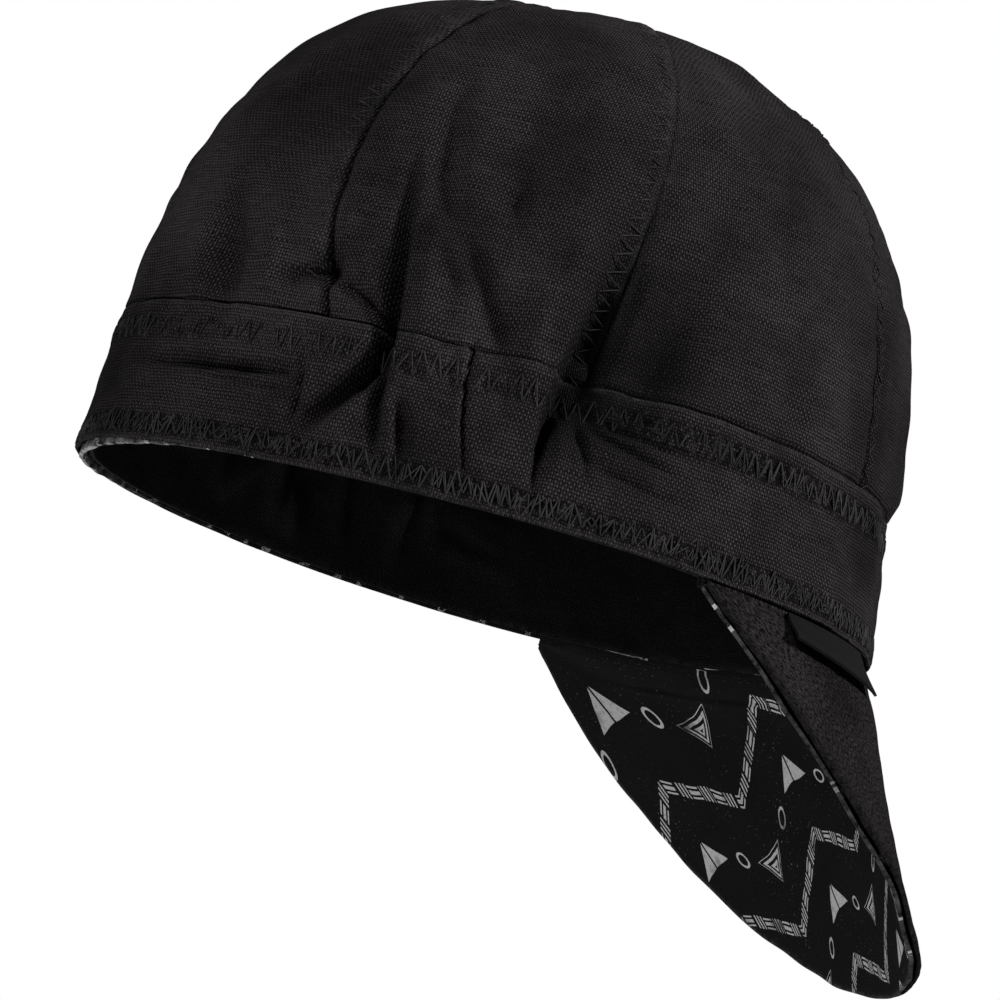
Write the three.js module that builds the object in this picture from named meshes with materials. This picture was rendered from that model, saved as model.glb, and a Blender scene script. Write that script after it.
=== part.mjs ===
import * as THREE from 'three';

// A soft welding cap: six crown panels on a gathered band, with a soft bill at the front.
// Millimetres, +Z up. The origin is the middle of the head opening, level with the rim.
// The bill faces -Y. An angle is measured round the cap from the front, positive towards +X.

// Driving dimensions
const capLength = 205; // front to back over the band, at the rim
const capWidth = 167.4; // side to side over the band, at the rim
const capHeight = 140; // from the rim to the top of the crown
const bandHeight = 36;
const frontFullness = 0.116; // how much the front half is wider than the back half
const frontLean = 4.9; // how far the band leans in at the front, over its height
const rearLean = 2.5;
const sideLean = 2.0;
const sideDip = 1.1; // the rim hangs this much lower at the sides
const crownRoundness = 2.45; // exponent of the crown's outline: 2 is an ellipse, more is squarer
const topShift = 2.4; // the top of the crown lies this far behind the middle

const canvasWall = 1.4; // outer canvas of the crown, band and bill
const liningWall = 1.0; // printed lining
const sweatbandWall = 1.2;
const labelWall = 0.8;
const clearance = 0.3; // between neighbouring layers and along the seams
const crownTuck = 8; // how far the crown reaches down behind the band
const rootTuck = 6; // how far the bill and the lining strip reach up behind the band
const crownPuff = 16; // height over which the crown swells out above the band
const apexRadius = 1.6; // the panels stop this far from the crown's centre
const liningReveal = 0.8; // how far the printed lining peeks out past an edge
const sweatbandInset = 1.5; // the sweatband starts this far above the rim
const stackBlend = 10; // degrees over which the sweatband moves off the bill's layers

const billSpread = 67.8; // half the angle that the bill's root takes
const billLength = 81; // along the middle of the bill, from root to tip
const billEndLength = 1.6; // at the two ends of its root
const billRoundness = 2.1; // exponents of the bill's free edge
const billFullness = 0.92;
const billDroop = 70.8; // below level, in the middle
const billEndLift = 9.1; // less droop at the ends of the root
const billTwist = 4.0; // more droop on the +X side
const billFan = 0.783; // how much the bill's ribs spread, as a share of their angle
const billFlare = 3.8; // the bill straightens by this angle from root to tip
const billBlend = 0.25; // share of the bill's length over which it swells out to its full line

const foldDepth = 5; // of the deepest fold
const foldEnds = 0.7; // exponent of a fold's depth along its run: less ends it more bluntly
const farSideShare = 0.75; // the folds of the hidden side, as a share of this side's

// The crown's panels, by the angles of the seams at their two sides
const rearSeam = 131;
const sideSeam = 87.5;
const frontSeam = 36;
const panels = [
  { name: 'crown_panel_front', from: -frontSeam, to: frontSeam, columns: 11 },
  { name: 'crown_panel_side_left', from: frontSeam, to: sideSeam, columns: 8 },
  { name: 'crown_panel_gathered_left', from: sideSeam, to: rearSeam, columns: 16 },
  { name: 'crown_panel_rear', from: rearSeam, to: 360 - rearSeam, columns: 14 },
  { name: 'crown_panel_gathered_right', from: -rearSeam, to: -sideSeam, columns: 16 },
  { name: 'crown_panel_side_right', from: -sideSeam, to: -frontSeam, columns: 8 },
];

// Folds run up the cap, from the first angle and rise to the second. Rises are shares of the
// cap's height, spreads are degrees and depths are shares of the deepest fold: below zero is a bulge.
const folds = [
  { name: 'crown, rear pleat', angles: [-118, -122], rises: [0.15, 0.56], spread: 3.4, depth: 0.85 },
  { name: 'crown, swell beside it', angles: [-112, -113], rises: [0.22, 0.75], spread: 7, depth: -0.4 },
  { name: 'crown, soft dip', angles: [-101, -109], rises: [0.26, 0.56], spread: 4, depth: 0.3 },
  { name: 'crown, swell before seam', angles: [-98, -95], rises: [0.24, 0.65], spread: 4.5, depth: -0.4 },
  { name: 'crown, fold at the side seam', angles: [-94, -86], rises: [0.17, 0.62], spread: 3.6, depth: 1 },
  { name: 'crown, hollow past the seam', angles: [-88, -77], rises: [0.22, 0.56], spread: 4.5, depth: 0.4 },
  { name: 'crown, pucker at the rear seam', angles: [-131, -131], rises: [0.26, 0.4], spread: 3, depth: 0.3 },
  { name: 'band, slanting fold', angles: [-128, -117], rises: [0.04, 0.3], spread: 2.8, depth: 0.8 },
  { name: 'band, rear crease', angles: [-116, -119], rises: [0.03, 0.26], spread: 2.2, depth: 0.45 },
  { name: 'band, swell', angles: [-110, -110], rises: [0.03, 0.3], spread: 5, depth: -0.3 },
  { name: 'band, deep fold', angles: [-94, -94], rises: [0.04, 0.32], spread: 2.6, depth: 1 },
  { name: 'band, swell before it', angles: [-99, -99], rises: [0.03, 0.32], spread: 3.2, depth: -0.35 },
  { name: 'band, dip after it', angles: [-83, -90], rises: [0.06, 0.28], spread: 3.6, depth: 0.35 },
];

const bandMiddleRows = 4; // between the bill's root and the crown's foot
const crownSteps = 12;
const billRows = [0, 0.04, 0.12, 0.22, 0.36, 0.52, 0.68, 0.84, 1]; // shares of the bill's length
const labelRows = 2;
const labelColumns = 6;
const sliver = 1; // degrees: a shared column this close to a piece's end is left out
const angleStep = 0.2; // degrees, to find which way a surface faces

// The woven label hangs from the seam between the band and the bill
const labelFrom = -52;
const labelTo = -24;
const labelHeight = 11.5;
const labelStandOff = 1.8; // its free edge stands this much further off the bill

// Materials
const canvas = new THREE.MeshStandardMaterial({ color: 0x1d1b1b, roughness: 0.9, metalness: 0 });
const lining = new THREE.MeshStandardMaterial({ color: 0x3a3a3c, roughness: 0.85, metalness: 0 });
const sweatbandCloth = new THREE.MeshStandardMaterial({ color: 0x131314, roughness: 0.9, metalness: 0 });
const labelCloth = new THREE.MeshStandardMaterial({ color: 0x101012, roughness: 0.7, metalness: 0 });

const rad = THREE.MathUtils.degToRad;
const smooth = THREE.MathUtils.smoothstep;
const lerp = THREE.MathUtils.lerp;

// Evenly spaced values from one to another, both ends included
function evenly(from, to, spans) {
  return Array.from({ length: spans + 1 }, (unused, i) => lerp(from, to, i / spans));
}

// An angle as it is measured from the front, between -180 and 180
function fromFront(angle) {
  return THREE.MathUtils.euclideanModulo(angle + 180, 360) - 180;
}

// Depth of the folds at an angle and a height above the rim
function foldOffset(angle, rise) {
  let offset = 0;
  for (const fold of folds) {
    const along = (rise / capHeight - fold.rises[0]) / (fold.rises[1] - fold.rises[0]);
    if (along <= 0 || along >= 1) continue;
    const centre = lerp(fold.angles[0], fold.angles[1], along);
    for (const side of [1, -1]) {
      const across = Math.exp(-((fromFront(angle * side - centre) / fold.spread) ** 2));
      const share = side === 1 ? 1 : farSideShare;
      offset += fold.depth * foldDepth * share * across * Math.sin(Math.PI * along) ** foldEnds;
    }
  }
  return offset;
}

// Half width and half length of the level section at a height above the rim
function section(angle, rise) {
  const bandShare = Math.min(rise / bandHeight, 1);
  const crownShare = Math.max(rise - bandHeight, 0) / (capHeight - bandHeight);
  const reach = (1 - crownShare ** crownRoundness) ** (1 / crownRoundness);
  const lean = (frontLean + rearLean) / 2 + ((frontLean - rearLean) / 2) * Math.cos(rad(angle));
  return {
    halfWidth: (capWidth / 2 - sideLean * bandShare) * reach,
    halfLength: (capLength / 2 - lean * bandShare) * reach,
    shift: topShift * crownShare ** 2,
    dip: sideDip * Math.sin(rad(angle)) ** 2 * (1 - bandShare),
  };
}

// A point of the cap's outermost surface, without folds
function outerPoint(angle, rise) {
  const { halfWidth, halfLength, shift, dip } = section(angle, rise);
  const turn = rad(angle);
  return new THREE.Vector3(
    halfWidth * Math.sin(turn) * (1 + frontFullness * Math.cos(turn)),
    -halfLength * Math.cos(turn) + shift,
    rise - dip,
  );
}

// The direction that points straight out of a surface given by an angle and a way up it
function outwardNormal(surface, angle, v, vStep) {
  const across = surface(angle + angleStep, v).sub(surface(angle - angleStep, v));
  const up = surface(angle, v + vStep).sub(surface(angle, v - vStep));
  return across.cross(up).normalize();
}

// A point of a layer of the crown or band, at a depth below the outermost surface
function layerPoint(angle, rise, inset) {
  const step = Math.min(0.5, (capHeight - rise) / 4);
  const normal = outwardNormal(outerPoint, angle, rise, step);
  const depth = inset + foldOffset(angle, rise);
  return outerPoint(angle, rise).addScaledVector(normal, -depth);
}

// The crown lies behind the band and swells out to the outermost surface above it
function crownInset(rise) {
  return (canvasWall + clearance) * (1 - smooth(rise, bandHeight, bandHeight + crownPuff));
}

// The angles of all the columns, shared by every layer so that their flat faces nest
const stations = panels.flatMap(({ from, to, columns }) => evenly(from, to, columns).slice(0, -1));

// The rises of the rows behind the band, shared in the same way
const crownFoot = bandHeight - crownTuck;
const tuckRows = evenly(crownFoot, bandHeight, 2);
const middleRows = evenly(rootTuck, crownFoot, bandMiddleRows).slice(0, -1);

// The shared angles between two ends
function columnsBetween(from, to) {
  const turns = stations.flatMap((angle) => [angle - 360, angle, angle + 360]);
  const inside = turns.filter((angle) => angle > from + sliver && angle < to - sliver);
  return [from, ...inside.sort((a, b) => a - b), to];
}

// A closed wall between an outer and an inner surface, over columns and rows.
// Both surfaces take a column and a row and give a point; a ring joins its last column to its first.
function wallMesh(name, material, columns, rows, outer, inner, ring = false) {
  const across = columns.length;
  const up = rows.length;
  const positions = [];
  for (const surface of [outer, inner]) {
    for (const row of rows) {
      for (const column of columns) positions.push(...surface(column, row).toArray());
    }
  }
  const at = (side, row, column) => (side * up + row) * across + (column % across);
  const indices = [];
  const quad = (a, b, c, d) => indices.push(a, b, c, a, c, d);
  const spans = ring ? across : across - 1;
  for (let column = 0; column < spans; column += 1) {
    for (let row = 0; row < up - 1; row += 1) {
      quad(at(0, row, column), at(0, row, column + 1), at(0, row + 1, column + 1), at(0, row + 1, column));
      quad(at(1, row, column), at(1, row + 1, column), at(1, row + 1, column + 1), at(1, row, column + 1));
    }
    quad(at(1, 0, column), at(1, 0, column + 1), at(0, 0, column + 1), at(0, 0, column));
    quad(at(0, up - 1, column), at(0, up - 1, column + 1), at(1, up - 1, column + 1), at(1, up - 1, column));
  }
  if (!ring) {
    const last = across - 1;
    for (let row = 0; row < up - 1; row += 1) {
      quad(at(1, row, 0), at(0, row, 0), at(0, row + 1, 0), at(1, row + 1, 0));
      quad(at(0, row, last), at(1, row, last), at(1, row + 1, last), at(0, row + 1, last));
    }
  }
  const geometry = new THREE.BufferGeometry();
  geometry.setAttribute('position', new THREE.Float32BufferAttribute(positions, 3));
  geometry.setIndex(indices);
  geometry.computeVertexNormals();
  const mesh = new THREE.Mesh(geometry, material);
  mesh.name = name;
  return mesh;
}

// One panel of the crown, from behind the band up to the crown's centre
function crownPanel({ name, from, to }) {
  const crownHeight = capHeight - bandHeight;
  const topReach = apexRadius / (capWidth / 2 - sideLean);
  const topShare = (1 - topReach ** crownRoundness) ** (1 / crownRoundness);
  const turns = [0.5 / crownSteps, ...evenly(0, 1, crownSteps).slice(1)];
  const rises = turns.map((turn) => bandHeight + crownHeight * topShare * Math.sin((Math.PI / 2) * turn));
  const rows = [...tuckRows, ...rises];
  const columns = columnsBetween(from, to).map((angle) => (angle - from) / (to - from));
  const surface = (depth) => (share, rise) => {
    const narrowest = section(from, rise).halfWidth * (1 - frontFullness);
    const margin = THREE.MathUtils.radToDeg(clearance / 2 / narrowest);
    return layerPoint(lerp(from + margin, to - margin, share), rise, crownInset(rise) + depth);
  };
  return wallMesh(name, canvas, columns, rows, surface(0), surface(canvasWall));
}

// The outer band, all the way round
function band() {
  const rows = [0, ...middleRows, ...tuckRows];
  const surface = (depth) => (angle, rise) => layerPoint(angle, rise, depth);
  return wallMesh('band', canvas, stations, rows, surface(0), surface(canvasWall), true);
}

// How deep the layers before the sweatband reach: the bill and its lining at the front,
// the strip or the crown elsewhere
const frontStack = canvasWall + clearance + canvasWall + clearance + liningWall;
const restStack = canvasWall + clearance + Math.max(liningWall, canvasWall);

// The plain inner band that lies against the head
function sweatband() {
  const rows = [sweatbandInset, ...middleRows, ...tuckRows.slice(0, -1)];
  const surface = (depth) => (angle, rise) => {
    const pastBill = smooth(Math.abs(fromFront(angle)), billSpread, billSpread + stackBlend);
    const aboveRoot = smooth(rise, rootTuck, crownFoot);
    const stack = lerp(frontStack, restStack, Math.max(pastBill, aboveRoot));
    return layerPoint(angle, rise, stack + clearance + depth);
  };
  return wallMesh('sweatband', sweatbandCloth, stations, rows, surface(0), surface(sweatbandWall), true);
}

// The printed strip that peeks out under the rim, from one end of the bill round the back to the other
function liningEdge() {
  const margin = THREE.MathUtils.radToDeg((clearance * 2) / (capWidth / 2));
  const columns = columnsBetween(billSpread + margin, 360 - billSpread - margin);
  const surface = (depth) => (angle, rise) => layerPoint(angle, rise, canvasWall + clearance + depth);
  const rows = [-liningReveal, 0, rootTuck];
  return wallMesh('lining_edge', lining, columns, rows, surface(0), surface(liningWall));
}

// Length of the bill's rib at an angle
function ribLength(angle) {
  const share = Math.min(Math.abs(angle) / billSpread, 1);
  return lerp(billEndLength, billLength, (1 - share ** billRoundness) ** billFullness);
}

// A point of the bill's outermost surface, at a share of its rib
function billPoint(angle, share) {
  const side = angle / billSpread;
  const droop = rad(billDroop - billEndLift * side ** 2 + billTwist * side - billFlare * (share - 0.5));
  const fan = rad(angle * billFan);
  const run = ribLength(angle) * share;
  const root = outerPoint(angle, 0);
  root.x += run * Math.cos(droop) * Math.sin(fan);
  root.y -= run * Math.cos(droop) * Math.cos(fan);
  root.z -= run * Math.sin(droop);
  return root;
}

// One layer of the bill: it rises behind the band, then runs out along the ribs.
// Rows below zero lie behind the band, as shares of the tuck.
function billLayer(name, material, inset, wall, reveal) {
  const columns = columnsBetween(-billSpread, billSpread);
  const rows = [-1, ...billRows];
  const surface = (depth) => (angle, row) => {
    if (row <= 0) return layerPoint(angle, -row * rootTuck, canvasWall + clearance + inset + depth);
    const swell = (canvasWall + clearance) * (1 - smooth(row, 0, billBlend));
    const share = row * (1 + reveal / ribLength(angle));
    const ribStep = Math.min(0.01, share / 2);
    const normal = outwardNormal(billPoint, angle, share, -ribStep);
    return billPoint(angle, share).addScaledVector(normal, -(swell + inset + depth));
  };
  // The rows run down the bill, so the two faces change places to keep the wall facing out
  return wallMesh(name, material, columns, rows, surface(wall), surface(0));
}

// The label, from the seam down over the bill
function labelTab() {
  const columns = evenly(labelFrom, labelTo, labelColumns);
  const rows = evenly(0, 1, labelRows);
  const surface = (depth) => (angle, row) => {
    const share = (clearance + row * labelHeight) / ribLength(angle);
    const normal = outwardNormal(billPoint, angle, share, -share / 2);
    const swell = (canvasWall + clearance) * (1 - smooth(share, 0, billBlend));
    const lift = clearance + labelStandOff * row + depth;
    return billPoint(angle, share).addScaledVector(normal, lift - swell);
  };
  // The rows run down here too
  return wallMesh('label_tab', labelCloth, columns, rows, surface(0), surface(labelWall));
}

const cap = new THREE.Group();
for (const panel of panels) cap.add(crownPanel(panel));
cap.add(band(), sweatband(), liningEdge());
cap.add(billLayer('bill', canvas, 0, canvasWall, 0));
cap.add(billLayer('bill_lining', lining, canvasWall + clearance, liningWall, liningReveal));
cap.add(labelTab());

export default cap;
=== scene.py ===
import math
from functools import partial

import bpy
import numpy as np
from mathutils import Matrix, Vector


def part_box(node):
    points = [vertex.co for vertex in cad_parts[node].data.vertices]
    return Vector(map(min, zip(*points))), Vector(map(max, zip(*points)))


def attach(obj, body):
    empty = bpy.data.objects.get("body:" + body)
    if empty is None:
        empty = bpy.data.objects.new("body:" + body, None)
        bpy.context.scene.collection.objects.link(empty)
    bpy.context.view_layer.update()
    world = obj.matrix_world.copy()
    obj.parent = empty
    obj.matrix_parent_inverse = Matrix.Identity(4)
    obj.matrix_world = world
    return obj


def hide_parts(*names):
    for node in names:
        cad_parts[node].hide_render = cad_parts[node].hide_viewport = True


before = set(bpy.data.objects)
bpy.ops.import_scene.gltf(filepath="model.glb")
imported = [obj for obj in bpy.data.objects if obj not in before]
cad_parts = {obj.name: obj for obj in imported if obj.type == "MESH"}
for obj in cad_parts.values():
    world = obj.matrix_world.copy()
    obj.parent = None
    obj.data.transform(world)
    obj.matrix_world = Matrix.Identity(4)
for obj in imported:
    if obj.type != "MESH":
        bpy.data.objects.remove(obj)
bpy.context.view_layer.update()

# A soft black welding cap, seen from its side and a little from below. The bill faces -Y.
# Lengths are millimetres and angles are degrees until a mesh is laid, in metres. An angle is
# measured round the cap from the front, positive towards +X; the camera sees the negative ones.
mm = 0.001
print("frame: %d nodes" % len(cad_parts))

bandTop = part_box("band")[1]
cap = {
    "width": 167.4,  # over the band, at the rim
    "length": 2 * bandTop.y / mm,
    "height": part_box("crown_panel_front")[1].z / mm,
    "bandHeight": bandTop.z / mm,
    "frontFullness": 0.116,  # how much the front half is wider than the back half
    "frontLean": 4.9,  # how far the band leans in over its height
    "rearLean": 2.5,
    "sideLean": 2.0,
    "sideDip": 1.1,  # the rim hangs lower at the sides
    "roundness": 2.45,  # exponent of the crown's outline
    "topShift": 2.4,
    "rearSwell": 1.1,  # the band's back stands out a little
    "wall": 1.4,
    "gap": 0.3,
    "puff": (1.3, 0.4),  # height over which the crown swells out above the band, front and back
    "bulge": (0.6, 0.0),  # how far it stands out there, at the front and at the back
    "farSideShare": 0.75,  # folds of the hidden side, as a share of this side's
    "innerFoldWidth": 2.4,  # the layers inside take no fold more narrowly than this
    "paintedCreaseShade": 0.85,  # how soon the painted shade down in a fold goes dark
    "foldReach": 30,  # a fold is left out further than this from its middle, in degrees
}
layer = cap["wall"] + cap["gap"]  # from the face of one layer of canvas to the next

# Folds and creases: how far each slopes to the right and to the left of somebody who walks its
# path, and then the path as (angle, rise, depth). A depth below zero is a swell.
folds = {
    "rear panel, swell at the back": [(5, 3.6), (-158, 66, 0), (-156, 54, -2.0), (-154, 43, -2.0),
        (-153, 36, 0)],
    "rear panel, valley": [(4.4, 3.0), (-153, 72, 0), (-150.5, 60, 2.4), (-148.3, 50, 4.2),
        (-146.5, 41, 3.4), (-146, 35, 1.0), (-146, 32, 0)],
    "rear panel, swell": [(4.6, 5), (-143, 66, 0), (-141, 54, -2.2), (-139, 43, -2.2),
        (-138, 36, 0)],
    "rear seam, pinch": [(2.4, 1.5), (-139, 44.5, 0), (-134.5, 45.2, 2.2), (-131, 47.6, 2.8),
        (-129, 49.5, 0)],
    "rear seam, knot": [(1.7, 2.2), (-130.3, 56, 0), (-129.5, 51, 3.6), (-129.3, 47.5, 4.0),
        (-129.3, 43, 0)],
    "rear pleat": [(2.6, 1.8), (-123, 84, 0), (-121, 72, 1.6), (-120.2, 64, 3.2), (-119.5, 55, 5.0),
        (-118.9, 47, 6.2), (-118.3, 40, 6.8), (-117.9, 34, 6.0), (-117.7, 29, 3.0),
        (-118, 25.5, 0)],
    "swell beside the pleat": [(2.2, 5), (-118, 80, 0), (-116, 66, -1.35), (-115.2, 52, -1.95),
        (-114.6, 40, -1.5), (-114, 32, 0)],
    "crease into the pleat": [(1.3, 1.9), (-129, 48, 0), (-126.5, 45, 2.2), (-123, 41.8, 3.4),
        (-120.5, 38.4, 3.4), (-118.5, 34, 0)],
    "swell over that crease": [(3, 3), (-126.5, 56, 0), (-124.5, 50, -1.35), (-122.5, 45.5, -0.9),
        (-121, 43, 0)],
    "soft valley, upper": [(3.6, 3.4), (-121, 106, 0), (-119, 92, 1.8), (-117.3, 79, 2.8),
        (-115.2, 68, 2.6), (-113, 58, 0)],
    "small dip": [(3.4, 3.0), (-106.5, 84, 0), (-106, 73, 2.5), (-105, 62, 0)],
    "soft slanting fold": [(3.6, 1.9), (-112.5, 63, 0), (-109, 56, 1.65), (-106, 50, 2.55),
        (-103.5, 44.5, 2.85), (-102, 39.5, 2.1), (-101.3, 35, 0)],
    "second slanting fold": [(3, 2.2), (-117, 63, 0), (-114, 56, 1.5), (-111.5, 50, 1.65),
        (-109.5, 44, 0)],
    "swell between the folds": [(3.5, 3.5), (-111, 51, 0), (-109.3, 45, -1.65), (-108, 38, 0)],
    "lobe at the side fold": [(5, 3.2), (-99.5, 62, 0), (-98.6, 52, -2.4), (-98.4, 44, -3.2),
        (-98.2, 37, -2.6), (-98, 30, -1.5), (-98, 22, -0.6), (-98, 14, 0)],
    "upper lobe": [(4, 3), (-95.5, 78, 0), (-95.3, 66, -1.95), (-95.8, 56, -2.1),
        (-96.5, 47, -1.35), (-97, 42, 0)],
    "side fold, upper": [(3.4, 4.5), (-87.3, 84, 0), (-88.6, 74, 1.8), (-89.6, 66, 3.4),
        (-90.4, 58, 4.2), (-91.2, 50, 3.2), (-92, 43, 1.0), (-92.6, 38, 0)],
    "side fold, lower": [(2.3, 7.4), (-91.2, 60, 0), (-92, 51, 3.0), (-92.9, 43, 6.2),
        (-93.6, 37, 7.6), (-94, 31, 7.2), (-94.3, 26, 5.4), (-94.4, 20, 2.4), (-94.2, 13, 0)],
    "hollow at the side seam": [(4.5, 5.0), (-87, 66, 0), (-87.8, 56, 1.6), (-88.4, 47, 3.4),
        (-89, 40, 4.4), (-89.4, 34, 4.2), (-89.4, 28, 2.4), (-88.4, 20, 0)],
    "hollow past the seam": [(7.0, 5.4), (-72, 88, 0), (-75, 77, 1.2), (-78, 65, 2.8),
        (-80, 54, 4.6), (-81.4, 46, 5.8), (-82.6, 39, 5.8), (-83.6, 33, 4.2), (-84.6, 28, 2.0),
        (-85.5, 23, 0)],
    "ridge between the hollows": [(2.0, 1.6), (-84, 70, 0), (-85.2, 60, -1.0), (-86.4, 52, -1.4),
        (-87.4, 45, -1.0), (-88.6, 38, 0)],
    "front panel, swell": [(13, 13), (-8, 72, 0), (-8, 60, -0.9), (-8, 51, -1.6), (-8, 43, -1.5),
        (-8, 37, 0)],
    "band, level crease": [(0.8, 2.6), (-165, 20, 0), (-156, 20, 1.8), (-147, 20, 3.3),
        (-138, 20.4, 3.3), (-131, 21.2, 1.5), (-128.8, 21.6, 0)],
    "band, line below it": [(0.7, 1.2), (-151, 18.4, 0), (-140, 17.6, 0.9), (-132, 17.2, 0.9),
        (-128.5, 17.2, 0)],
    "band, ridge below it": [(1.5, 1.5), (-150, 15.8, 0), (-140, 14.2, -1.05), (-131, 12.2, -0.9),
        (-128.5, 11.8, 0)],
    "band, short crease": [(0.8, 0.8), (-130, 29, 0), (-128.8, 22, 1.65), (-128.1, 14, 1.5),
        (-128.2, 9, 0)],
    "band, lip of that crease": [(0.8, 1.6), (-128.9, 28, 0), (-127.6, 21, -0.9),
        (-126.9, 14, -0.75), (-127, 9, 0)],
    "band, slash": [(3.0, 2.2), (-117.6, 31, 0), (-118.6, 27, 4.6), (-120.4, 22.6, 5.8),
        (-122.6, 18, 5.2), (-125, 12.5, 3.0), (-127.3, 6.5, 0)],
    "band, knot under the pleat": [(2.4, 1.5), (-118.4, 36.5, 2), (-118.4, 32, 4.4),
        (-118.8, 27, 4.2), (-119.8, 22, 1.2), (-120.5, 20, 0)],
    "band, lobe under the slash": [(1.6, 2.2), (-118.5, 20.5, 0), (-120.5, 15.5, -1.35),
        (-122.8, 10.5, -1.05), (-124, 7, 0)],
    "band, narrow fold": [(1.4, 1.0), (-117.2, 29, 0), (-117, 24, 3.2), (-116.8, 18, 3.4),
        (-115.9, 12, 2.8), (-115, 5.5, 0)],
    "band, ridge beside it": [(1.1, 1.1), (-115.7, 27, 0), (-115.4, 20, -1.35), (-114.2, 13, -1.35),
        (-113.6, 6.5, 0)],
    "band, dip beside the ridge": [(1.4, 2.0), (-114.6, 21, 0), (-113, 14, 3.2), (-112.2, 9, 2.6),
        (-112, 4, 0)],
    "band, join": [(0.6, 0.6), (-106.3, 37, 0.8), (-106, 27, 2.0), (-105, 18, 2.1),
        (-103.6, 10, 1.6), (-103, 5.5, 0)],
    "band, lip of the join": [(1.4, 0.5), (-107.4, 36.5, -0.75), (-106.9, 30, -0.75),
        (-106, 20, -0.52), (-104.8, 11, 0)],
    "band, small dent": [(1.2, 1.6), (-111, 18.3, 0), (-108.6, 19, 0.9), (-106.8, 20, 0)],
    "band, foot of the side fold": [(1.2, 1.5), (-94.4, 27, 0), (-94.5, 23, 4.4), (-94.4, 17, 4.0),
        (-94.2, 10.5, 2.4), (-94.2, 5, 0)],
    "band, lobe at its foot": [(1.7, 2.3), (-92.3, 25, 0), (-92.1, 20, -1.95), (-91.7, 14, -1.2),
        (-91.3, 9, 0)],
    "band, crease beside the lobe": [(0.9, 1.2), (-91.2, 27.5, 0), (-89.6, 22, 2.25),
        (-88.2, 17.5, 1.65), (-87.2, 10.5, 0)],
    "band, wrinkle": [(0.9, 1.6), (-90.6, 26.5, 0), (-86.5, 23.6, 2.1), (-80, 21, 1.6),
        (-73, 19.4, 0)],
    "band, upper wrinkle": [(0.9, 1.6), (-90, 29, 0), (-85.5, 26.6, 1.7), (-79, 25, 1.3),
        (-70, 25, 0)],
    "band, lower wrinkle": [(0.9, 1.4), (-88.6, 18, 0), (-84.5, 15.8, 1.3), (-78, 14.2, 1.0),
        (-72, 13.6, 0)],
}
# These folds have one side that is a wall with a clean top edge. The others are soft.
sharpSides = {
    "rear pleat": "left",
    "side fold, lower": "right",
    "band, knot under the pleat": "left",
}
# How dark the painted shade down in a fold is, where it differs from the rest
foldPaintedShades = {
    "rear seam, knot": 0.8,
    "rear pleat": 0.6,
    "crease into the pleat": 0.55,
    "band, slash": 1.7,
    "band, knot under the pleat": 0.55,
}


def smoothstep(value, low, high):
    share = np.clip((value - low) / (high - low), 0, 1)
    return share * share * (3 - 2 * share)


def lerp(low, high, share):
    return low + (high - low) * share


def fromFront(angle):
    return (angle + 180) % 360 - 180


def bell(value, middle, width):
    # one in the middle, fading away on both sides
    return np.exp(-(((value - middle) / width) ** 2))


def rearShare(angle):
    # one at the back of the cap, nothing from its sides to the front
    return np.clip(-np.cos(np.radians(angle)), 0, 1)


def crownShare(rise):
    # from 0 at the band's top to 1 at the crown's
    return np.clip((rise - cap["bandHeight"]) / (cap["height"] - cap["bandHeight"]), 0, 1)


def fullGrid(columns, rows):
    return np.broadcast_arrays(columns[None, :], rows[:, None])


def outerPoint(angle, rise):
    # the cap's outermost surface, without folds
    bandShare, upper = np.minimum(rise / cap["bandHeight"], 1), crownShare(rise)
    reach = (1 - upper ** cap["roundness"]) ** (1 / cap["roundness"])
    turn = np.radians(angle)
    frontLean, rearLean = cap["frontLean"], cap["rearLean"]
    lean = (frontLean + rearLean) / 2 + (frontLean - rearLean) / 2 * np.cos(turn)
    halfWidth = (cap["width"] / 2 - cap["sideLean"] * bandShare) * reach
    halfLength = (cap["length"] / 2 - lean * bandShare) * reach
    x = halfWidth * np.sin(turn) * (1 + cap["frontFullness"] * np.cos(turn))
    y = -halfLength * np.cos(turn) + cap["topShift"] * upper ** 2
    z = rise - cap["sideDip"] * np.sin(turn) ** 2 * (1 - bandShare)
    return np.stack(np.broadcast_arrays(x, y, z), axis=-1)


def unit(vectors):
    return vectors / np.maximum(np.linalg.norm(vectors, axis=-1, keepdims=True), 1e-12)


def outerNormal(angle, rise):
    # straight out of that surface
    rise = np.minimum(rise, cap["height"] - 0.02)
    step = np.minimum(0.5, (cap["height"] - rise) / 4)
    across = outerPoint(angle + 0.2, rise) - outerPoint(angle - 0.2, rise)
    up = outerPoint(angle, rise + step) - outerPoint(angle, rise - step)
    return unit(np.cross(across, up))


def degreeLength(angle, rise):
    # how many millimetres one degree takes at a place
    return np.linalg.norm(outerPoint(angle + 0.5, rise) - outerPoint(angle - 0.5, rise), axis=-1)


def runLengths(points, axis):
    # distance run along an axis of a grid of points, from its start
    steps = np.linalg.norm(np.diff(points, axis=axis), axis=-1)
    return np.concatenate([np.zeros_like(np.take(steps, [0], axis)), np.cumsum(steps, axis)], axis)


def softNoise(points, size, seed, waves=20):
    # a smooth random field of about unit depth: waves of about this size in every direction
    draw = np.random.default_rng(seed)
    ways = unit(draw.normal(size=(waves, 3))) / (size * draw.uniform(0.7, 1.6, (waves, 1)))
    phases = draw.uniform(0, 2 * np.pi, waves)
    return np.sin(points @ (2 * np.pi * ways).T + phases).sum(-1) / math.sqrt(waves)


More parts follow.
